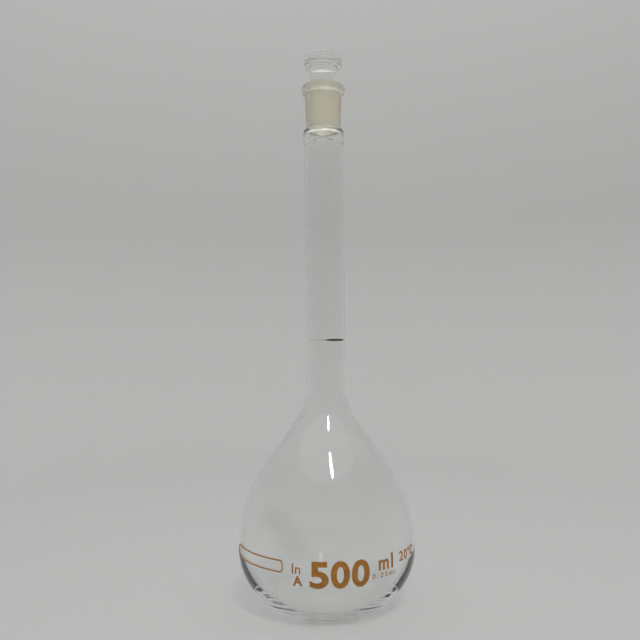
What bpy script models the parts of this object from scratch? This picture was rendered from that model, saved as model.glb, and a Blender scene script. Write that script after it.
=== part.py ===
"""A 500 ml volumetric flask with a ground glass stopper and its fired enamel markings.

Blender 4.5, metres, +Z up. The flask stands on z = 0 with its axis on the Z axis, and the
markings face -Y. The glass is turned: a pear-shaped bulb with a pushed-up base, a long
neck tube, and a conical socket that is welded on top. The stopper seats in the socket's
taper and lifts out along +Z. The markings are thin enamel shells: flat artwork, laid out
to the right of the front and up from the bulb's widest height, and wrapped round the bulb.
"""

import math
from typing import NamedTuple

import bmesh
import bpy
from mathutils import Vector
from mathutils.geometry import interpolate_bezier

# Bulb
BULB_DIAMETER = 0.0985
BELLY_HEIGHT = 0.0308
SHOULDER_HEIGHT = 0.1185
BULB_WALL = 0.0012
BASE_WALL = 0.0032
FOOT_DIAMETER = 0.0596
FOOT_WIDTH = 0.0028
PUNT_RISE = 0.0042
HEEL_REACH = 0.0037
BELLY_REACH_DOWN = 0.0180
BELLY_REACH_UP = 0.0491
THROAT_REACH = 0.0232

# Neck and socket
NECK_DIAMETER = 0.0222
NECK_WALL = 0.0017
RIM_HEIGHT = 0.2893
SOCKET_LENGTH = 0.0342
SOCKET_WALL = 0.0016
WELD_PROUD = 0.0003
WELD_LENGTH = 0.0075
WELD_FILLET = 0.0016
BEAD_HEIGHT = 0.0058
BEAD_PROUD = 0.0013
RIM_LAND = 0.0003
FLARE_LENGTH = 0.0030

# Standard 19/26 taper: largest bore, length, and change of diameter for each unit of length
TAPER_DIAMETER = 0.0188
TAPER_LENGTH = 0.0260
TAPER_RATE = 0.1

# Stopper
HEAD_DIAMETER = 0.0212
HEAD_HEIGHT = 0.0068
HEAD_ROUNDING = 0.0013
SHANK_DIAMETER = 0.0150
SHANK_LENGTH = 0.0097
SHANK_FILLET = 0.0014
PLUG_SETBACK = 0.0008
PLUG_SHOULDER = 0.0022
PLUG_DOME = 0.0016
PLUG_ROUNDING = 0.0012

# Ring mark, and the height above the shoulder at which the flask holds its capacity
MARK_ABOVE_SHOULDER = 0.0276
MARK_WIDTH = 0.0009

# Clearances
WELD_GAP = 0.0003
GROUND_GAP = 0.0001
ENAMEL_GAP = 0.00005
ENAMEL_THICKNESS = 0.00013

# Writing field: a blank outlined box for a pencilled label, placed as the print is
FIELD_LEFT = -0.0640
FIELD_WIDTH = 0.0410
FIELD_BASE = -0.0010
FIELD_HEIGHT = 0.0064
FIELD_LINE = 0.0007
FIELD_ROUNDING = 0.0018


class Word(NamedTuple):
    """Printed characters in a row, one node each. A width makes them all equally wide."""

    nodes: tuple
    characters: str
    left: float
    base: float
    height: float
    bold: float
    space: float = 0.0
    width: float = None


# Print, placed to the right of the front and up from the belly
WORDS = (
    Word(
        nodes=("digit_5", "digit_0_first", "digit_0_second"),
        characters="500", left=-0.0088, base=-0.0075, height=0.0136, bold=0.032,
        space=0.0010, width=0.0096,
    ),
    Word(
        nodes=("unit_m",),
        characters="m", left=0.0274, base=-0.0011, height=0.0078, bold=0.022, width=0.0066,
    ),
    Word(
        nodes=("unit_l",),
        characters="l", left=0.0358, base=-0.0011, height=0.0078, bold=0.022,
    ),
    Word(
        nodes=("class_a",),
        characters="A", left=-0.0176, base=-0.0068, height=0.0052, bold=0.03, width=0.0052,
    ),
    Word(
        nodes=("contain_i", "contain_n"),
        characters="In", left=-0.0180, base=-0.0006, height=0.0050, bold=0.01, space=0.0009,
    ),
    Word(
        nodes=(
            "tolerance_0", "tolerance_point", "tolerance_2", "tolerance_5", "tolerance_m",
            "tolerance_l",
        ),
        characters="0.25ml", left=0.0238, base=-0.0047, height=0.0025, bold=0.01, space=0.0014,
    ),
    Word(
        nodes=("temperature_2", "temperature_0", "temperature_degree", "temperature_c"),
        characters="20°C", left=0.0425, base=0.0004, height=0.0052, bold=0.02, space=0.0010,
    ),
)

# Fineness
SIDES = 48
HEEL_ROWS = 8
SHOULDER_ROWS = 14
FLOOR_ROWS = 5
ARC_STEPS = 5
CORNER_STEPS = 3
LETTER_STEPS = 3
LETTER_CAP_HEIGHT = 0.69
SHARP_ANGLE = 35

bulb_radius = BULB_DIAMETER / 2
foot_radius = FOOT_DIAMETER / 2
neck_radius = NECK_DIAMETER / 2
neck_bore = neck_radius - NECK_WALL
socket_base = RIM_HEIGHT - SOCKET_LENGTH
mark_height = SHOULDER_HEIGHT + MARK_ABOVE_SHOULDER


def clear_scene():
    for item in list(bpy.data.objects):
        bpy.data.objects.remove(item)


def glass(name, roughness, tint):
    """Clear or ground borosilicate glass."""
    material = bpy.data.materials.new(name)
    material.use_nodes = True
    shader = material.node_tree.nodes["Principled BSDF"]
    shader.inputs["Base Color"].default_value = (*tint, 1)
    shader.inputs["Roughness"].default_value = roughness
    shader.inputs["Transmission Weight"].default_value = 1
    shader.inputs["IOR"].default_value = 1.473
    material.diffuse_color = (*tint, 0.35)
    return material


def enamel():
    """Amber-brown enamel, fired into the glass."""
    material = bpy.data.materials.new("amber_enamel")
    material.use_nodes = True
    shader = material.node_tree.nodes["Principled BSDF"]
    shader.inputs["Base Color"].default_value = (0.40, 0.16, 0.02, 1)
    shader.inputs["Roughness"].default_value = 0.45
    shader.inputs["Metallic"].default_value = 0
    material.diffuse_color = (0.40, 0.16, 0.02, 1)
    return material


def add_object(name, bm, material, height=0.0):
    """Makes the object of a finished bmesh, with its origin on the axis at this height."""
    bmesh.ops.recalc_face_normals(bm, faces=bm.faces)
    mesh = bpy.data.meshes.new(name)
    bm.to_mesh(mesh)
    bm.free()
    mesh.shade_smooth()
    mesh.set_sharp_from_angle(angle=math.radians(SHARP_ANGLE))
    mesh.materials.append(material)
    item = bpy.data.objects.new(name, mesh)
    item.location.z = height
    bpy.context.scene.collection.objects.link(item)
    return item


def turned(name, outline, material, height=0.0):
    """Turns an outline of (radius, height) points round the axis. It closes on itself or on the axis."""
    bm = bmesh.new()
    points = [bm.verts.new((radius, 0, z)) for radius, z in outline]
    edges = [bm.edges.new(pair) for pair in zip(points, points[1:])]
    if outline[0][0] > 0:
        edges.append(bm.edges.new((points[-1], points[0])))
    bmesh.ops.spin(
        bm,
        geom=points + edges,
        cent=(0, 0, 0),
        axis=(0, 0, 1),
        angle=2 * math.pi,
        steps=SIDES,
        use_merge=True,
    )
    bmesh.ops.remove_doubles(bm, verts=bm.verts, dist=1e-6)
    return add_object(name, bm, material, height)


def curve_points(start, start_reach, end_reach, end, count):
    """(radius, height) points of a cubic curve whose ends leave along these two reaches."""
    ends = [Vector((*point, 0)) for point in (start, end)]
    handles = [ends[0] + Vector((*start_reach, 0)), ends[1] + Vector((*end_reach, 0))]
    found = interpolate_bezier(ends[0], handles[0], handles[1], ends[1], count)
    return [(point.x, point.y) for point in found]


def arc_points(centre, radii, start, end, steps=ARC_STEPS):
    """Points of an elliptical arc between two angles in degrees, both included."""
    angles = [math.radians(start + (end - start) * i / steps) for i in range(steps + 1)]
    return [
        (centre[0] + radii[0] * math.cos(a), centre[1] + radii[1] * math.sin(a))
        for a in angles
    ]


def between(low, high, share):
    return low + (high - low) * share


def taper_radius(below_rim):
    """The ground bore's radius at this depth under the rim."""
    return (TAPER_DIAMETER - TAPER_RATE * below_rim) / 2


def bulb_outline():
    """The bulb's outer curve, from the foot's outer edge past the belly to the throat."""
    foot, belly = (foot_radius, 0), (bulb_radius, BELLY_HEIGHT)
    throat = (neck_radius, SHOULDER_HEIGHT)
    heel = curve_points(foot, (HEEL_REACH, 0), (0, -BELLY_REACH_DOWN), belly, HEEL_ROWS)
    shoulder = curve_points(
        belly, (0, BELLY_REACH_UP), (0, -THROAT_REACH), throat, SHOULDER_ROWS
    )
    return heel + shoulder[1:]


def bulb_wall(height):
    """The wall thins from the base to the belly, and thickens again towards the neck."""
    if height < BELLY_HEIGHT:
        return between(BASE_WALL, BULB_WALL, height / BELLY_HEIGHT)
    return between(
        BULB_WALL,
        NECK_WALL,
        (height - BELLY_HEIGHT) / (SHOULDER_HEIGHT - BELLY_HEIGHT),
    )


def inner_curve(outer):
    """The outer curve moved in by the wall, along its normals. Up to the belly it only widens."""
    inner = [(foot_radius, BASE_WALL)]
    for before, here, after in zip(outer, outer[1:], outer[2:]):
        along = Vector(after) - Vector(before)
        inward = Vector((-along.y, along.x)).normalized()
        point = Vector(here) + inward * bulb_wall(here[1])
        if here[1] > BELLY_HEIGHT or point.x > inner[-1][0]:
            inner.append(tuple(point))
    return inner + [(neck_bore, SHOULDER_HEIGHT)]


def punt_height(radius):
    """The pushed-up base's height under the flask, none on the flat foot."""
    share = min(radius / (foot_radius - FOOT_WIDTH), 1)
    return PUNT_RISE * math.cos(share * math.pi / 2) ** 2


def base_points(lift):
    """Points of the pushed-up base from the axis out to the foot's inner edge."""
    radii = [(foot_radius - FOOT_WIDTH) * i / FLOOR_ROWS for i in range(FLOOR_ROWS + 1)]
    return [(radius, punt_height(radius) + lift) for radius in radii]


def make_bulb(material):
    outer = bulb_outline()
    inside = list(reversed(base_points(BASE_WALL) + inner_curve(outer)))
    return turned("bulb", base_points(0) + outer + inside, material)


def make_neck(material):
    length = socket_base - SHOULDER_HEIGHT - 2 * WELD_GAP
    outline = [(neck_bore, 0), (neck_radius, 0), (neck_radius, length), (neck_bore, length)]
    return turned("neck_tube", outline, material, SHOULDER_HEIGHT + WELD_GAP)


def bead_points():
    """The rounded bead round the rim, from the rim's flat land down to the socket's wall."""
    wall = taper_radius(BEAD_HEIGHT) + SOCKET_WALL
    land = taper_radius(0) + RIM_LAND
    reach = taper_radius(0) + SOCKET_WALL + BEAD_PROUD - land
    stop = -math.degrees(math.acos((wall - land) / reach))
    centre = (land, SOCKET_LENGTH - BEAD_HEIGHT / 2)
    return arc_points(centre, (reach, BEAD_HEIGHT / 2), 90, stop, 2 * ARC_STEPS)


def make_socket(material):
    """The conical socket: skirt, flared and ground bore, beaded rim. Its origin is its lower end."""
    skirt = neck_radius + WELD_PROUD
    taper_end = SOCKET_LENGTH - TAPER_LENGTH
    step = WELD_LENGTH + WELD_FILLET
    narrow = taper_radius(SOCKET_LENGTH - step) + SOCKET_WALL
    outer = [(neck_radius, 0)]
    outer += [(skirt, WELD_FILLET)]
    outer += arc_points((narrow, WELD_LENGTH), (skirt - narrow, WELD_FILLET), 0, 90)
    bore = [(taper_radius(0), SOCKET_LENGTH), (taper_radius(TAPER_LENGTH), taper_end)]
    flare_end = (neck_bore, taper_end - FLARE_LENGTH)
    reach = FLARE_LENGTH / 2
    flare = curve_points(bore[-1], (0, -reach), (0, reach), flare_end, ARC_STEPS)
    outline = outer + list(reversed(bead_points())) + bore + flare[1:] + [(neck_bore, 0)]
    return turned("joint_socket", outline, material, socket_base)


def stopper_outline():
    """The stopper from its domed lower end up to its head, with the rim's height as zero."""
    top = -PLUG_SETBACK
    bottom = -TAPER_LENGTH
    plug_end = taper_radius(TAPER_LENGTH) - GROUND_GAP - PLUG_ROUNDING
    shank = SHANK_DIAMETER / 2
    plug_top = taper_radius(PLUG_SETBACK) - GROUND_GAP
    head = HEAD_DIAMETER / 2
    head_base = SHANK_LENGTH
    head_top = SHANK_LENGTH + HEAD_HEIGHT
    dome = [(0, bottom - PLUG_DOME), (plug_end / 2, bottom - PLUG_DOME * 0.75)]
    edge = arc_points(
        (plug_end, bottom + PLUG_ROUNDING), (PLUG_ROUNDING, PLUG_ROUNDING), -90, 0, CORNER_STEPS
    )
    shoulder = curve_points(
        (plug_top, top), (0, PLUG_SHOULDER / 2), (0, -PLUG_SHOULDER / 2),
        (shank, top + PLUG_SHOULDER), ARC_STEPS,
    )
    fillet = arc_points(
        (shank + SHANK_FILLET, head_base - SHANK_FILLET), (SHANK_FILLET, SHANK_FILLET),
        180, 90, CORNER_STEPS,
    )
    rounding = (HEAD_ROUNDING, HEAD_ROUNDING)
    lower = (head - HEAD_ROUNDING, head_base + HEAD_ROUNDING)
    upper = (head - HEAD_ROUNDING, head_top - HEAD_ROUNDING)
    rim = arc_points(lower, rounding, -90, 0, CORNER_STEPS)
    rim += arc_points(upper, rounding, 0, 90, CORNER_STEPS)
    return dome + edge + shoulder + fillet + rim + [(0, head_top)]


def make_stopper(material):
    """The solid ground stopper. Its origin is on the lift's axis, in the rim's plane."""
    return turned("stopper", stopper_outline(), material, RIM_HEIGHT)


def make_mark(material):
    """The capacity ring, a band of enamel all the way round the neck."""
    inner = neck_radius + ENAMEL_GAP
    outer = inner + ENAMEL_THICKNESS
    half = MARK_WIDTH / 2
    outline = [(inner, -half), (outer, -half), (outer, half), (inner, half)]
    return turned("graduation_ring", outline, material, mark_height)


def outline_radius(outer, height):
    """The bulb's outer radius at this height, on its turned facets."""
    for low, high in zip(outer, outer[1:]):
        if low[1] <= height <= high[1]:
            return between(low[0], high[0], (height - low[1]) / (high[1] - low[1]))
    raise ValueError(f"the print reaches off the bulb at a height of {height}")


def wrap_on_bulb(name, bm, material):
    """Cuts flat artwork along the bulb's facets, wraps it round the bulb and gives it its thickness."""
    outer = bulb_outline()
    column = 2 * math.pi * bulb_radius / SIDES
    columns = range(-SIDES // 2, SIDES // 2 + 1)
    cuts = [((i * column, 0, 0), (1, 0, 0)) for i in columns]
    cuts += [((0, z - BELLY_HEIGHT, 0), (0, 1, 0)) for _, z in outer]
    for place, normal in cuts:
        everything = list(bm.verts) + list(bm.edges) + list(bm.faces)
        bmesh.ops.bisect_plane(bm, geom=everything, dist=1e-7, plane_co=place, plane_no=normal)
    bmesh.ops.remove_doubles(bm, verts=bm.verts, dist=2e-6)
    bmesh.ops.triangulate(bm, faces=bm.faces)
    for point in bm.verts:
        turn = point.co.x / bulb_radius
        height = point.co.y + BELLY_HEIGHT
        radius = outline_radius(outer, height) + ENAMEL_GAP
        point.co = (radius * math.sin(turn), -radius * math.cos(turn), height)
    grown = bmesh.ops.extrude_face_region(bm, geom=list(bm.faces))
    for point in grown["geom"]:
        if isinstance(point, bmesh.types.BMVert):
            outward = Vector((point.co.x, point.co.y, 0)).normalized()
            point.co += outward * ENAMEL_THICKNESS
    return add_object(name, bm, material)


def letter_bmesh(character, bold):
    """One flat character at a size of one, as wide faces rather than fine triangles."""
    curve = bpy.data.curves.new("letter", "FONT")
    curve.body = character
    curve.offset = bold
    curve.resolution_u = LETTER_STEPS
    holder = bpy.data.objects.new("letter", curve)
    bpy.context.scene.collection.objects.link(holder)
    bpy.context.view_layer.update()
    mesh = bpy.data.meshes.new_from_object(holder)
    bpy.data.objects.remove(holder)
    bm = bmesh.new()
    bm.from_mesh(mesh)
    bpy.data.meshes.remove(mesh)
    bmesh.ops.remove_doubles(bm, verts=bm.verts, dist=1e-4)
    bmesh.ops.dissolve_limit(bm, angle_limit=math.radians(4), verts=bm.verts, edges=bm.edges)
    return bm


def print_word(word, material):
    """Prints a word's characters one after another, each as its own piece of enamel."""
    scale = word.height / (LETTER_CAP_HEIGHT + 2 * word.bold)
    left = word.left
    for node, character in zip(word.nodes, word.characters):
        bm = letter_bmesh(character, word.bold)
        low = min(point.co.x for point in bm.verts)
        high = max(point.co.x for point in bm.verts)
        stretch = word.width / (high - low) if word.width else scale
        for point in bm.verts:
            point.co.x = left + (point.co.x - low) * stretch
            point.co.y = word.base + (point.co.y + word.bold) * scale
        wrap_on_bulb(node, bm, material)
        left += (high - low) * stretch + word.space


def rounded_box(width, height, rounding):
    """The corners of a box with round corners, counter-clockwise from the right, about its middle."""
    right, top = width / 2 - rounding, height / 2 - rounding
    found = []
    for turn, (x, y) in enumerate(((right, top), (-right, top), (-right, -top), (right, -top))):
        start = turn * 90
        found += arc_points((x, y), (rounding, rounding), start, start + 90, CORNER_STEPS)
    return found


def make_writing_field(material):
    """The blank box's outline, between two boxes with round corners."""
    middle = Vector((FIELD_LEFT + FIELD_WIDTH / 2, FIELD_BASE + FIELD_HEIGHT / 2))
    inset = FIELD_ROUNDING - FIELD_LINE
    bm = bmesh.new()
    rings = []
    for width, height, rounding in (
        (FIELD_WIDTH, FIELD_HEIGHT, FIELD_ROUNDING),
        (FIELD_WIDTH - 2 * FIELD_LINE, FIELD_HEIGHT - 2 * FIELD_LINE, inset),
    ):
        corners = rounded_box(width, height, rounding)
        rings.append([bm.verts.new((middle.x + x, middle.y + y, 0)) for x, y in corners])
    outer, inner = rings
    for i in range(len(outer)):
        j = (i + 1) % len(outer)
        bm.faces.new((outer[i], outer[j], inner[j], inner[i]))
    return wrap_on_bulb("writing_field", bm, material)


def main():
    clear_scene()
    clear = glass("clear_glass", 0.02, (0.97, 0.98, 0.97))
    make_bulb(clear)
    make_neck(glass("neck_glass", 0.02, (0.97, 0.98, 0.97)))
    make_socket(glass("socket_glass", 0.25, (0.93, 0.91, 0.84)))
    make_stopper(glass("stopper_glass", 0.2, (0.93, 0.92, 0.87)))
    amber = enamel()
    make_mark(amber)
    make_writing_field(amber)
    for word in WORDS:
        print_word(word, amber)


main()
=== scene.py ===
"""Looks of the 500 ml volumetric flask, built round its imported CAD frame.

Blender 4.5, metres, +Z up, in the CAD's own frame: the axis is the Z axis, the flask stands on
z = 0 and the print faces -Y. The glass is turned again at a fine pitch, with the slight
unevenness of blown glass on its inside and ground faces in its joint. Each enamel marking is
wrapped again on the smooth bulb.
"""

import math
from typing import NamedTuple

import bmesh
import bpy
from mathutils import Matrix, Vector, noise
from mathutils.geometry import interpolate_bezier


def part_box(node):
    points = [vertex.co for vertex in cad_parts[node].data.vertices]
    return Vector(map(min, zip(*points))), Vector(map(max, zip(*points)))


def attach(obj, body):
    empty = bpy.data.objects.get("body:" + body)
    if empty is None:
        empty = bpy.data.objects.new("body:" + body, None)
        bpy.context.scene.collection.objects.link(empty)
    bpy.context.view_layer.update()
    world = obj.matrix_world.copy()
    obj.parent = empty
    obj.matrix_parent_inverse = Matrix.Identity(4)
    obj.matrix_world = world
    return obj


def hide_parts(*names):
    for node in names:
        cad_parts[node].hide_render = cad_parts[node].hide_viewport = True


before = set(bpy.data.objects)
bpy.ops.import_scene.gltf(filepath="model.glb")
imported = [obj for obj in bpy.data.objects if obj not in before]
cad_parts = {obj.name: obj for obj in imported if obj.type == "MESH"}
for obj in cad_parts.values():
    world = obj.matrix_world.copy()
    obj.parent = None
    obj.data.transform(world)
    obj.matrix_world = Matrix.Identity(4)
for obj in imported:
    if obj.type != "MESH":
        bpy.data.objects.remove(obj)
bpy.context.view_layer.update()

# Places that the CAD frame gives
bulb_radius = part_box("bulb")[1].x
shoulder_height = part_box("bulb")[1].z
neck_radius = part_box("neck_tube")[1].x
socket_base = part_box("joint_socket")[0].z
rim_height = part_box("joint_socket")[1].z
head_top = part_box("stopper")[1].z
mark_height = (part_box("graduation_ring")[0].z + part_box("graduation_ring")[1].z) / 2

# Bulb
BELLY_HEIGHT = 0.0308
BULB_WALL = 0.0012
BASE_WALL = 0.0032
FOOT_RADIUS = 0.0298
FOOT_WIDTH = 0.0028
PUNT_RISE = 0.0042
HEEL_REACH = 0.0037
BELLY_REACH_DOWN = 0.0180
BELLY_REACH_UP = 0.0491
THROAT_REACH = 0.0232

# Neck and socket
NECK_WALL = 0.0017
SOCKET_WALL = 0.0016
WELD_PROUD = 0.0003
WELD_LENGTH = 0.0075
WELD_FILLET = 0.0016
BEAD_HEIGHT = 0.0058
BEAD_PROUD = 0.0013
RIM_LAND = 0.0003
FLARE_LENGTH = 0.0030
TAPER_DIAMETER = 0.0188
TAPER_LENGTH = 0.0260
TAPER_RATE = 0.1

# Stopper
HEAD_RADIUS = 0.0106
HEAD_HEIGHT = 0.0068
HEAD_ROUNDING = 0.0013
SHANK_RADIUS = 0.0075
SHANK_FILLET = 0.0014
PLUG_SETBACK = 0.0008
PLUG_SHOULDER = 0.0022
PLUG_DOME = 0.0016
PLUG_ROUNDING = 0.0012
GROUND_GAP = 0.0001

# Enamel
MARK_WIDTH = 0.0009
MARK_BOLD_MIDDLE = -57
MARK_BOLD_REACH = 40
MARK_BOLD_SHARE = 1.4
MARK_THIN_SHARE = 0.1
MARK_THIN_DEPTH = 0.5
MARK_BEVEL = 0.8
ENAMEL_GAP = 0.00003
ENAMEL_THICKNESS = 0.00013
ENAMEL_CELL = 0.0015
FIELD_LEFT = -0.0640
FIELD_WIDTH = 0.0410
FIELD_BASE = -0.0010
FIELD_HEIGHT = 0.0064
FIELD_LINE = 0.0007
FIELD_ROUNDING = 0.0018

# Fineness
SIDES = 160
STAGE_SIDES = 128
CURVE_STEPS = 40
ARC_STEPS = 8
NECK_POINTS = 24
BORE_POINTS = 40
GROUND_POINTS = 12
SHORT_POINTS = 6
LETTER_STEPS = 12
SHARP_ANGLE = 35

# Height of a capital letter in Blender's built-in face, at a size of one
LETTER_CAP_HEIGHT = 0.69

# Unevenness of the blown inside
WAVE_DEPTH = 0.00005
WAVE_PITCH = 0.020

# Stage
FLOOR_DROP = 0.0002
FLOOR_RADIUS = 0.42
SWEEP_RADIUS = 0.33
WALL_HEIGHT = 0.95

# Light
WORLD_GREY = 0.80
WORLD_STRENGTH = 1.05

# Camera, level with the ring mark
CAMERA_SENSOR = 36
CAMERA_LENS = 39.375
CAMERA_DISTANCE = 0.394
CAMERA_SHIFT = (-0.0081, 0.03125)
CAMERA_ROLL = -0.47

# Finishes of the turned glass, as the order of its materials
CLEAR = 0
GROUND = 1


class Word(NamedTuple):
    """Printed characters in a row, one piece each. A width makes them all equally wide."""

    nodes: tuple
    characters: str
    left: float
    base: float
    height: float
    bold: float
    space: float = 0.0
    width: float = None


# Print, placed to the right of the front and up from the belly
WORDS = (
    Word(
        nodes=("digit_5", "digit_0_first", "digit_0_second"),
        characters="500", left=-0.0088, base=-0.0075, height=0.0136, bold=0.032,
        space=0.0010, width=0.0096,
    ),
    Word(
        nodes=("unit_m",),
        characters="m", left=0.0274, base=-0.0011, height=0.0078, bold=0.022, width=0.0066,
    ),
    Word(
        nodes=("unit_l",),
        characters="l", left=0.0358, base=-0.0011, height=0.0078, bold=0.022,
    ),
    Word(
        nodes=("class_a",),
        characters="A", left=-0.0176, base=-0.0068, height=0.0052, bold=0.03, width=0.0052,
    ),
    Word(
        nodes=("contain_i", "contain_n"),
        characters="In", left=-0.0180, base=-0.0006, height=0.0050, bold=0.01, space=0.0009,
    ),
    Word(
        nodes=(
            "tolerance_0", "tolerance_point", "tolerance_2", "tolerance_5", "tolerance_m",
            "tolerance_l",
        ),
        characters="0.25ml", left=0.0238, base=-0.0047, height=0.0025, bold=0.01, space=0.0014,
    ),
    Word(
        nodes=("temperature_2", "temperature_0", "temperature_degree", "temperature_c"),
        characters="20°C", left=0.0425, base=0.0004, height=0.0052, bold=0.02, space=0.0010,
    ),
)


class Stretch(NamedTuple):
    """Outline points of one finish, as (radius, height), and how uneven the glass is there."""

    points: list
    finish: int = CLEAR
    waves: float = 0.0


def between(low, high, share):
    """The value this share of the way from low to high."""
    return low + (high - low) * share


def curve_points(start, start_reach, end_reach, end, count=CURVE_STEPS):
    """(radius, height) points of a cubic curve whose ends leave along these two reaches."""
    ends = [Vector((*point, 0)) for point in (start, end)]
    handles = [ends[0] + Vector((*start_reach, 0)), ends[1] + Vector((*end_reach, 0))]
    found = interpolate_bezier(ends[0], handles[0], handles[1], ends[1], count)
    return [(point.x, point.y) for point in found]


def arc_points(centre, radii, start, end, steps=ARC_STEPS):
    """Points of an elliptical arc between two angles in degrees, both included."""
    angles = [math.radians(between(start, end, i / steps)) for i in range(steps + 1)]
    return [
        (centre[0] + radii[0] * math.cos(a), centre[1] + radii[1] * math.sin(a))
        for a in angles
    ]


def line_points(start, end, count):
    """Evenly spaced points of a straight run, both ends included."""
    shares = [i / (count - 1) for i in range(count)]
    return [tuple(between(a, b, share) for a, b in zip(start, end)) for share in shares]


def taper_radius(below_rim):
    """The ground bore's radius at this depth under the rim."""
    return (TAPER_DIAMETER - TAPER_RATE * below_rim) / 2


def bulb_outline():
    """The bulb's outer curve, from the foot's outer edge past the belly to the throat."""
    foot, belly = (FOOT_RADIUS, 0), (bulb_radius, BELLY_HEIGHT)
    throat = (neck_radius, shoulder_height)
    heel = curve_points(foot, (HEEL_REACH, 0), (0, -BELLY_REACH_DOWN), belly)
    shoulder = curve_points(belly, (0, BELLY_REACH_UP), (0, -THROAT_REACH), throat)
    return heel + shoulder[1:]


def bulb_wall(height):
    """The wall thins from the base to the belly, and thickens again towards the neck."""
    if height < BELLY_HEIGHT:
        return between(BASE_WALL, BULB_WALL, height / BELLY_HEIGHT)
    share = (height - BELLY_HEIGHT) / (shoulder_height - BELLY_HEIGHT)
    return between(BULB_WALL, NECK_WALL, share)


def inner_curve(outer):
    """The outer curve moved in by the wall, along its normals. Up to the belly it only widens."""
    inner = [(FOOT_RADIUS, BASE_WALL)]
    for before, here, after in zip(outer, outer[1:], outer[2:]):
        along = Vector(after) - Vector(before)
        inward = Vector((-along.y, along.x)).normalized()
        point = Vector(here) + inward * bulb_wall(here[1])
        if here[1] > BELLY_HEIGHT or point.x > inner[-1][0]:
            inner.append(tuple(point))
    return inner + [(neck_radius - NECK_WALL, shoulder_height)]


def base_points(lift):
    """Points of the pushed-up base from the axis out to the foot's inner edge."""
    edge = FOOT_RADIUS - FOOT_WIDTH
    shares = [i / ARC_STEPS / 2 for i in range(2 * ARC_STEPS + 1)]
    return [
        (edge * share, PUNT_RISE * math.cos(share * math.pi / 2) ** 2 + lift)
        for share in shares
    ]


def weld_points():
    """The socket's welded skirt and the step above it, up to where its straight wall starts."""
    skirt = neck_radius + WELD_PROUD
    step = WELD_LENGTH + WELD_FILLET
    narrow = taper_radius(rim_height - socket_base - step) + SOCKET_WALL
    centre = (narrow, socket_base + WELD_LENGTH)
    swell = curve_points(
        (neck_radius, socket_base), (0, WELD_FILLET / 2), (0, -WELD_FILLET / 2),
        (skirt, socket_base + WELD_FILLET), ARC_STEPS,
    )
    return swell + arc_points(centre, (skirt - narrow, WELD_FILLET), 0, 90)


def bead_points():
    """The rounded bead round the rim, from the socket's wall up to the rim's flat land."""
    wall = taper_radius(BEAD_HEIGHT) + SOCKET_WALL
    land = taper_radius(0) + RIM_LAND
    reach = taper_radius(0) + SOCKET_WALL + BEAD_PROUD - land
    stop = -math.degrees(math.acos((wall - land) / reach))
    centre = (land, rim_height - BEAD_HEIGHT / 2)
    return arc_points(centre, (reach, BEAD_HEIGHT / 2), stop, 90, 3 * ARC_STEPS)


def flask_stretches():
    """The whole glass body's outline: up its outside, over the rim and down its inside."""
    outer = bulb_outline()
    mouth = (taper_radius(0), rim_height)
    taper_end = (taper_radius(TAPER_LENGTH), rim_height - TAPER_LENGTH)
    throat = (neck_radius - NECK_WALL, taper_end[1] - FLARE_LENGTH)
    reach = FLARE_LENGTH / 2
    shoulder = (neck_radius - NECK_WALL, shoulder_height)
    outside = base_points(0) + outer
    outside += line_points(outer[-1], (neck_radius, socket_base), NECK_POINTS)[1:-1]
    outside += weld_points() + bead_points()
    flare = curve_points(taper_end, (0, -reach), (0, reach), throat, 2 * ARC_STEPS)
    bore = line_points(throat, shoulder, BORE_POINTS)
    inside = list(reversed(base_points(BASE_WALL) + inner_curve(outer)))
    return [
        Stretch(outside + [mouth]),
        Stretch(line_points(mouth, taper_end, GROUND_POINTS), GROUND),
        Stretch(flare),
        Stretch(bore[:-1] + inside, CLEAR, WAVE_DEPTH),
    ]


def stopper_stretches():
    """The stopper from its domed lower end up to its head."""
    top = rim_height - PLUG_SETBACK
    bottom = rim_height - TAPER_LENGTH
    head_base = head_top - HEAD_HEIGHT
    plug_end = taper_radius(TAPER_LENGTH) - GROUND_GAP
    plug_top = taper_radius(PLUG_SETBACK) - GROUND_GAP
    dome = curve_points(
        (0, bottom - PLUG_DOME), (plug_end / 2, 0),
        (-plug_end / 4, 0), (plug_end - PLUG_ROUNDING, bottom), 2 * ARC_STEPS,
    )
    corner = (plug_end - PLUG_ROUNDING, bottom + PLUG_ROUNDING)
    edge = arc_points(corner, (PLUG_ROUNDING, PLUG_ROUNDING), -90, 0)
    plug = line_points(edge[-1], (plug_top, top), GROUND_POINTS)
    shoulder = curve_points(
        (plug_top, top), (0, PLUG_SHOULDER / 2), (0, -PLUG_SHOULDER / 2),
        (SHANK_RADIUS, top + PLUG_SHOULDER), 2 * ARC_STEPS,
    )
    fillet = arc_points(
        (SHANK_RADIUS + SHANK_FILLET, head_base - SHANK_FILLET),
        (SHANK_FILLET, SHANK_FILLET), 180, 90,
    )
    shank = line_points(shoulder[-1], fillet[0], SHORT_POINTS)[1:-1]
    rounding = (HEAD_ROUNDING, HEAD_ROUNDING)
    rim_low = (HEAD_RADIUS - HEAD_ROUNDING, head_base + HEAD_ROUNDING)
    rim_high = (HEAD_RADIUS - HEAD_ROUNDING, head_top - HEAD_ROUNDING)
    head = arc_points(rim_low, rounding, -90, 0) + arc_points(rim_high, rounding, 0, 90)
    head += line_points(head[-1], (0, head_top), SHORT_POINTS)[1:]
    return [
        Stretch(dome + edge[1:] + plug[1:], GROUND),
        Stretch(shoulder + shank + fillet + head),
    ]


def outline_of(stretches):
    """One outline of (radius, height), with the finish of each step and the waves at each point."""
    points, finishes, waves = [], [], []
    for stretch in stretches:
        for point in stretch.points:
            if points and math.dist(points[-1], point) < 1e-6:
                continue
            if points:
                finishes.append(stretch.finish)
            points.append(point)
            waves.append(stretch.waves)
    return points, finishes, waves


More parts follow.
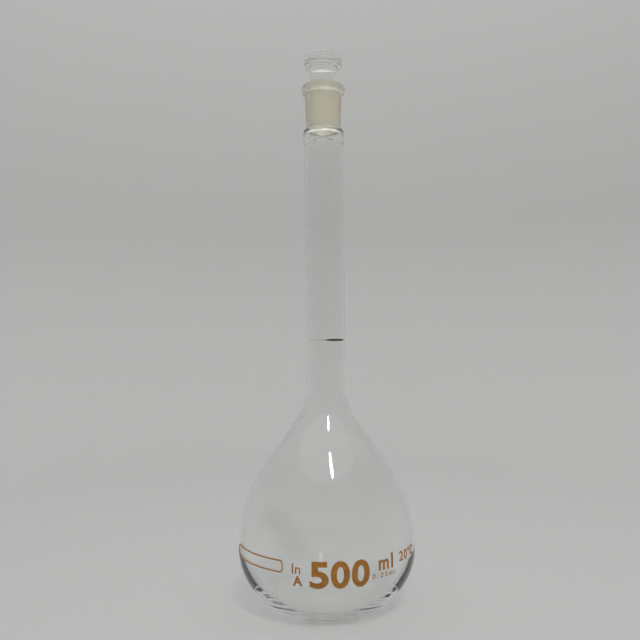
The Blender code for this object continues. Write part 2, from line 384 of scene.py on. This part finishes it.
def waved(points, waves, index, angle):
    """A turned point, moved along the outline's normal by the glass's unevenness there."""
    radius, height = points[index]
    place = Vector((radius * math.cos(angle), radius * math.sin(angle), height))
    if not waves[index]:
        return place
    before, after = points[max(index - 1, 0)], points[min(index + 1, len(points) - 1)]
    along = (Vector(after) - Vector(before)).normalized()
    normal = Vector((along.y * math.cos(angle), along.y * math.sin(angle), -along.x))
    return place + normal * waves[index] * noise.noise(place / WAVE_PITCH)


def turned(name, stretches, materials, sides=SIDES):
    """Turns an outline round the Z axis into a smooth mesh, with a finish for each stretch."""
    points, finishes, waves = outline_of(stretches)
    bm = bmesh.new()
    rows = []
    for index, (radius, _) in enumerate(points):
        count = sides if radius > 1e-7 else 1
        angles = [2 * math.pi * i / sides for i in range(count)]
        rows.append([bm.verts.new(waved(points, waves, index, a)) for a in angles])
    for low, high, finish in zip(rows, rows[1:], finishes):
        for i in range(sides):
            j = (i + 1) % sides
            below = [low[i % len(low)], low[j % len(low)]]
            above = [high[j % len(high)], high[i % len(high)]]
            face = bm.faces.new(dict.fromkeys(below + above))
            face.material_index = finish
    return add_object(name, bm, materials)


def add_object(name, bm, materials):
    """Makes the object of a finished bmesh, shaded smooth with its real edges kept."""
    bmesh.ops.recalc_face_normals(bm, faces=bm.faces)
    mesh = bpy.data.meshes.new(name)
    bm.to_mesh(mesh)
    bm.free()
    mesh.shade_smooth()
    mesh.set_sharp_from_angle(angle=math.radians(SHARP_ANGLE))
    for material in materials:
        mesh.materials.append(material)
    item = bpy.data.objects.new(name, mesh)
    bpy.context.scene.collection.objects.link(item)
    return item


# Materials


class Nodes:
    """A material's node tree, with one short call for each node."""

    def __init__(self, name):
        self.material = bpy.data.materials.new(name)
        self.material.use_nodes = True
        self.tree = self.material.node_tree
        self.shader = self.tree.nodes["Principled BSDF"]
        self.output = self.tree.nodes["Material Output"]

    def add(self, kind, **inputs):
        node = self.tree.nodes.new(kind)
        for key, value in inputs.items():
            socket = node.inputs[key.replace("_", " ")]
            if isinstance(value, bpy.types.NodeSocket):
                self.tree.links.new(value, socket)
            else:
                socket.default_value = value
        return node

    def link(self, output, socket):
        self.tree.links.new(output, socket)

    def place(self, stretch=(1, 1, 1)):
        """Object coordinates in metres, stretched."""
        source = self.add("ShaderNodeTexCoord").outputs["Object"]
        return self.add("ShaderNodeMapping", Vector=source, Scale=stretch).outputs["Vector"]

    def speckle(self, pitch, detail=3.0, stretch=(1, 1, 1)):
        """Noise whose blotches are about this many metres across."""
        place = self.place(stretch)
        node = self.add("ShaderNodeTexNoise", Vector=place, Scale=1 / pitch, Detail=detail)
        return node.outputs["Fac"]

    def ramp(self, value, stops):
        """A colour ramp over (position, colour) stops."""
        node = self.add("ShaderNodeValToRGB", Fac=value)
        elements = node.color_ramp.elements
        while len(elements) < len(stops):
            elements.new(0.5)
        for element, (position, colour) in zip(elements, stops):
            element.position = position
            element.color = (*colour, 1)
        return node.outputs["Color"]

    def spread(self, value, low, high):
        """The noise's usual range spread over these two numbers."""
        node = self.add("ShaderNodeMapRange", Value=value)
        for key, number in (("From Min", 0.3), ("From Max", 0.7), ("To Min", low), ("To Max", high)):
            node.inputs[key].default_value = number
        return node.outputs["Result"]

    def bump(self, height, strength, distance):
        node = self.add("ShaderNodeBump", Height=height, Strength=strength, Distance=distance)
        self.link(node.outputs["Normal"], self.shader.inputs["Normal"])

    def let_lamps_through(self, face_on, edge_on):
        """Lamps' rays pass the glass, less of them where they graze it."""
        facing = self.add("ShaderNodeLayerWeight", Blend=0.35).outputs["Facing"]
        passed = self.ramp(facing, ((0.0, (face_on,) * 3), (1.0, (edge_on,) * 3)))
        clear = self.add("ShaderNodeBsdfTransparent", Color=passed).outputs["BSDF"]
        is_shadow = self.add("ShaderNodeLightPath").outputs["Is Shadow Ray"]
        mix = self.add("ShaderNodeMixShader", Fac=is_shadow)
        self.link(self.shader.outputs["BSDF"], mix.inputs[1])
        self.link(clear, mix.inputs[2])
        self.link(mix.outputs["Shader"], self.output.inputs["Surface"])


def set_inputs(shader, **values):
    """Sets the shader's own sockets, named with _ for a space."""
    for key, value in values.items():
        shader.inputs[key.replace("_", " ")].default_value = value


def clear_glass(name, tint):
    """Fire-polished borosilicate glass."""
    nodes = Nodes(name)
    set_inputs(nodes.shader, Roughness=0.0, IOR=1.473, Transmission_Weight=1.0)
    deep = tuple(channel * 0.985 for channel in tint)
    nodes.link(
        nodes.ramp(nodes.speckle(0.012), ((0.3, deep), (0.7, tint))),
        nodes.shader.inputs["Base Color"],
    )
    nodes.bump(nodes.speckle(0.006, detail=1.0), strength=0.04, distance=0.0004)
    nodes.let_lamps_through(face_on=0.93, edge_on=0.9)
    return nodes.material


def ground_glass(name):
    """Glass ground to a matt cone, with the fine rings that the grinding leaves."""
    nodes = Nodes(name)
    set_inputs(nodes.shader, IOR=1.473, Transmission_Weight=0.6)
    rings = nodes.speckle(0.003, detail=4.0, stretch=(1, 1, 14))
    grain = nodes.speckle(0.0004, detail=2.0)
    nodes.link(
        nodes.ramp(rings, ((0.3, (0.82, 0.79, 0.68)), (0.7, (0.92, 0.89, 0.79)))),
        nodes.shader.inputs["Base Color"],
    )
    nodes.link(nodes.spread(grain, 0.58, 0.72), nodes.shader.inputs["Roughness"])
    nodes.bump(rings, strength=0.15, distance=0.0002)
    nodes.let_lamps_through(face_on=0.55, edge_on=0.45)
    return nodes.material


def enamel(name, dark, middle, pale):
    """A ceramic print fired into the glass, grainy and clouded between these three colours."""
    nodes = Nodes(name)
    set_inputs(nodes.shader, IOR=1.5)
    cloud = nodes.speckle(0.0016, detail=4.0)
    grain = nodes.speckle(0.00018, detail=2.0)
    stops = ((0.25, dark), (0.5, middle), (0.75, pale))
    nodes.link(nodes.ramp(cloud, stops), nodes.shader.inputs["Base Color"])
    nodes.link(nodes.spread(grain, 0.34, 0.52), nodes.shader.inputs["Roughness"])
    nodes.bump(grain, strength=0.25, distance=0.00005)
    return nodes.material


def pale_paper():
    """The stage's plain pale paper."""
    nodes = Nodes("pale_paper")
    set_inputs(nodes.shader, Base_Color=(0.62, 0.62, 0.615, 1), Roughness=0.9)
    set_inputs(nodes.shader, Specular_IOR_Level=0.2)
    return nodes.material


# Enamel markings


def bulb_surface_radius(outer, height):
    """The bulb's outer radius at this height."""
    for low, high in zip(outer, outer[1:]):
        if low[1] <= height <= high[1]:
            return between(low[0], high[0], (height - low[1]) / (high[1] - low[1]))
    raise ValueError(f"the print reaches off the bulb at a height of {height}")


def wrap_on_bulb(name, bm, material):
    """Cuts flat artwork into small cells, wraps it round the bulb and gives it its thickness."""
    outer = bulb_outline()
    for axis in (0, 1):
        low = min(point.co[axis] for point in bm.verts)
        high = max(point.co[axis] for point in bm.verts)
        normal = [0, 0, 0]
        normal[axis] = 1
        for step in range(math.floor(low / ENAMEL_CELL), math.ceil(high / ENAMEL_CELL)):
            place = [0, 0, 0]
            place[axis] = step * ENAMEL_CELL
            everything = list(bm.verts) + list(bm.edges) + list(bm.faces)
            bmesh.ops.bisect_plane(
                bm, geom=everything, dist=1e-7, plane_co=place, plane_no=normal
            )
    bmesh.ops.remove_doubles(bm, verts=bm.verts, dist=2e-6)
    bmesh.ops.triangulate(bm, faces=bm.faces)
    for point in bm.verts:
        turn = point.co.x / bulb_radius
        height = point.co.y + BELLY_HEIGHT
        radius = bulb_surface_radius(outer, height) + ENAMEL_GAP
        point.co = (radius * math.sin(turn), -radius * math.cos(turn), height)
    grown = bmesh.ops.extrude_face_region(bm, geom=list(bm.faces))
    for point in grown["geom"]:
        if isinstance(point, bmesh.types.BMVert):
            outward = Vector((point.co.x, point.co.y, 0)).normalized()
            point.co += outward * ENAMEL_THICKNESS
    return add_object(name, bm, [material])


def letter_bmesh(character, bold):
    """One flat character at a size of one, as wide faces rather than fine triangles."""
    curve = bpy.data.curves.new("letter", "FONT")
    curve.body = character
    curve.offset = bold
    curve.resolution_u = LETTER_STEPS
    holder = bpy.data.objects.new("letter", curve)
    bpy.context.scene.collection.objects.link(holder)
    bpy.context.view_layer.update()
    mesh = bpy.data.meshes.new_from_object(holder)
    bpy.data.objects.remove(holder)
    bm = bmesh.new()
    bm.from_mesh(mesh)
    bpy.data.meshes.remove(mesh)
    bmesh.ops.remove_doubles(bm, verts=bm.verts, dist=1e-4)
    bmesh.ops.dissolve_limit(bm, angle_limit=math.radians(1), verts=bm.verts, edges=bm.edges)
    return bm


def print_word(word, material):
    """Prints a word's characters one after another. Gives each piece with its CAD node's name."""
    scale = word.height / (LETTER_CAP_HEIGHT + 2 * word.bold)
    left = word.left
    for node, character in zip(word.nodes, word.characters):
        bm = letter_bmesh(character, word.bold)
        low = min(point.co.x for point in bm.verts)
        high = max(point.co.x for point in bm.verts)
        stretch = word.width / (high - low) if word.width else scale
        for point in bm.verts:
            point.co.x = left + (point.co.x - low) * stretch
            point.co.y = word.base + (point.co.y + word.bold) * scale
        stand_in(wrap_on_bulb(f"print_{node}", bm, material), "flask", "amber_enamel", node)
        left += (high - low) * stretch + word.space


def rounded_box(width, height, rounding):
    """A box with round corners, counter-clockwise from the right, about its middle."""
    right, top = width / 2 - rounding, height / 2 - rounding
    found = []
    for turn, (x, y) in enumerate(((right, top), (-right, top), (-right, -top), (right, -top))):
        found += arc_points((x, y), (rounding, rounding), turn * 90, turn * 90 + 90)
    return found


def make_writing_field(material):
    """The blank box's outline, between two boxes with round corners."""
    middle = Vector((FIELD_LEFT + FIELD_WIDTH / 2, FIELD_BASE + FIELD_HEIGHT / 2))
    inset = FIELD_ROUNDING - FIELD_LINE
    bm = bmesh.new()
    rings = []
    for width, height, rounding in (
        (FIELD_WIDTH, FIELD_HEIGHT, FIELD_ROUNDING),
        (FIELD_WIDTH - 2 * FIELD_LINE, FIELD_HEIGHT - 2 * FIELD_LINE, inset),
    ):
        corners = rounded_box(width, height, rounding)
        rings.append([bm.verts.new((middle.x + x, middle.y + y, 0)) for x, y in corners])
    outer, inner = rings
    for i in range(len(outer)):
        j = (i + 1) % len(outer)
        bm.faces.new((outer[i], outer[j], inner[j], inner[i]))
    return wrap_on_bulb("print_writing_field", bm, material)


def brush_stroke(angle):
    """How full the brushed ring is at this angle: 1 along its bold stretch, 0 elsewhere."""
    edge = math.cos(math.radians(MARK_BOLD_REACH))
    along = math.cos(angle - math.radians(MARK_BOLD_MIDDLE))
    share = max((along - edge) / (1 - edge), 0)
    return share * share * (3 - 2 * share)


def make_mark(material):
    """The capacity ring, brushed on: bold at the front right and thin everywhere else."""
    inner = neck_radius + ENAMEL_GAP
    bm = bmesh.new()
    rows = []
    for i in range(SIDES):
        angle = 2 * math.pi * i / SIDES
        share = brush_stroke(angle)
        half = MARK_WIDTH / 2 * between(MARK_THIN_SHARE, MARK_BOLD_SHARE, share)
        outer = inner + ENAMEL_THICKNESS * between(MARK_THIN_DEPTH, 1.0, share)
        around = Vector((math.cos(angle), math.sin(angle), 0))
        up = Vector((0, 0, 1))
        middle = Vector((0, 0, mark_height))
        crown = half * MARK_BEVEL
        corners = ((inner, -half), (outer, -crown), (outer, crown), (inner, half))
        rows.append([bm.verts.new(middle + around * r + up * z) for r, z in corners])
    for here, after in zip(rows, rows[1:] + rows[:1]):
        for k in range(4):
            n = (k + 1) % 4
            bm.faces.new((here[k], here[n], after[n], after[k]))
    return add_object("print_graduation_ring", bm, [material])


# Assembly, stage, light and camera


def stand_in(piece, body, slot, *nodes):
    """The piece rides on its body and shows instead of the CAD nodes. The slot is not used."""
    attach(piece, body)
    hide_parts(*nodes)


def make_flask():
    """The glass: the flask's body as one melt, and its loose stopper."""
    clear = clear_glass("clear_glass", (0.975, 0.983, 0.975))
    solid = clear_glass("stopper_glass", (0.975, 0.982, 0.972))
    ground = ground_glass("ground_glass")
    body = turned("flask_glass", flask_stretches(), [clear, ground])
    stand_in(body, "flask", "clear_glass", "bulb", "neck_tube", "joint_socket")
    stopper = turned("stopper_glass", stopper_stretches(), [solid, ground])
    stand_in(stopper, "stopper", "stopper_glass", "stopper")


def make_print():
    """The enamel: the ring mark in dark olive, and the rest in amber."""
    amber = enamel(
        "amber_enamel", (0.32, 0.124, 0.012), (0.42, 0.170, 0.018), (0.53, 0.234, 0.030)
    )
    olive = enamel(
        "olive_enamel", (0.050, 0.045, 0.020), (0.070, 0.062, 0.028), (0.095, 0.085, 0.040)
    )
    stand_in(make_mark(olive), "flask", "amber_enamel", "graduation_ring")
    stand_in(make_writing_field(amber), "flask", "amber_enamel", "writing_field")
    for word in WORDS:
        print_word(word, amber)


def make_stage():
    """A round paper floor that sweeps up into a wall on all sides."""
    sweep = arc_points(
        (FLOOR_RADIUS, SWEEP_RADIUS), (SWEEP_RADIUS, SWEEP_RADIUS), -90, 0, 4 * ARC_STEPS
    )
    outline = [(0, 0)] + sweep + [(FLOOR_RADIUS + SWEEP_RADIUS, WALL_HEIGHT)]
    floor = turned("stage_floor", [Stretch(outline)], [pale_paper()], STAGE_SIDES)
    floor.location.z = -FLOOR_DROP


def aim(item, target):
    """Turns a light to face a place."""
    item.rotation_mode = "QUATERNION"
    item.rotation_quaternion = (Vector(target) - item.location).to_track_quat("-Z", "Y")


def add_light(name, azimuth, elevation, distance, width, height, power):
    """A soft oval light, placed by its angles as seen from the middle of the flask."""
    light = bpy.data.lights.new(name, "AREA")
    light.shape = "ELLIPSE"
    light.size = width
    light.size_y = height
    light.energy = power
    item = bpy.data.objects.new(name, light)
    turn, rise = math.radians(azimuth), math.radians(elevation)
    middle = Vector((0, 0, rim_height / 2))
    level = math.cos(rise)
    out = Vector((math.sin(turn) * level, -math.cos(turn) * level, math.sin(rise)))
    item.location = middle + out * distance
    bpy.context.scene.collection.objects.link(item)
    aim(item, middle)


def make_light():
    """One soft key light in front and above, in an even pale world.

    The world isn't sampled as a lamp, because light paths through the glass find it already.
    """
    add_light("key", azimuth=14, elevation=57.5, distance=2.0, width=0.14, height=0.46, power=12)
    world = bpy.data.worlds.new("studio")
    world.use_nodes = True
    background = world.node_tree.nodes["Background"]
    background.inputs["Color"].default_value = (WORLD_GREY, WORLD_GREY, WORLD_GREY, 1)
    background.inputs["Strength"].default_value = WORLD_STRENGTH
    world.cycles.sampling_method = "NONE"
    bpy.context.scene.world = world


def make_camera():
    """In front of the print at the height of the ring mark, level and rolled a little."""
    data = bpy.data.cameras.new("camera")
    data.sensor_width = CAMERA_SENSOR
    data.lens = CAMERA_LENS
    data.shift_x, data.shift_y = CAMERA_SHIFT
    camera = bpy.data.objects.new("camera", data)
    camera.location = (0, -CAMERA_DISTANCE, mark_height)
    level = Matrix.Rotation(math.radians(90), 3, "X")
    roll = Matrix.Rotation(math.radians(CAMERA_ROLL), 3, "Z")
    camera.rotation_euler = (level @ roll).to_euler()
    bpy.context.scene.collection.objects.link(camera)
    bpy.context.scene.camera = camera


def set_render():
    """Enough bounces for light to leave the thick glass of the heel, and no blurring in it."""
    scene = bpy.context.scene
    scene.view_settings.view_transform = "Standard"
    scene.cycles.max_bounces = 48
    scene.cycles.transmission_bounces = 48
    scene.cycles.glossy_bounces = 24
    scene.cycles.diffuse_bounces = 3
    scene.cycles.transparent_max_bounces = 24
    scene.cycles.sample_clamp_indirect = 3
    scene.cycles.blur_glossy = 0
    scene.cycles.use_denoising = True


make_flask()
make_print()
make_stage()
make_light()
make_camera()
set_render()
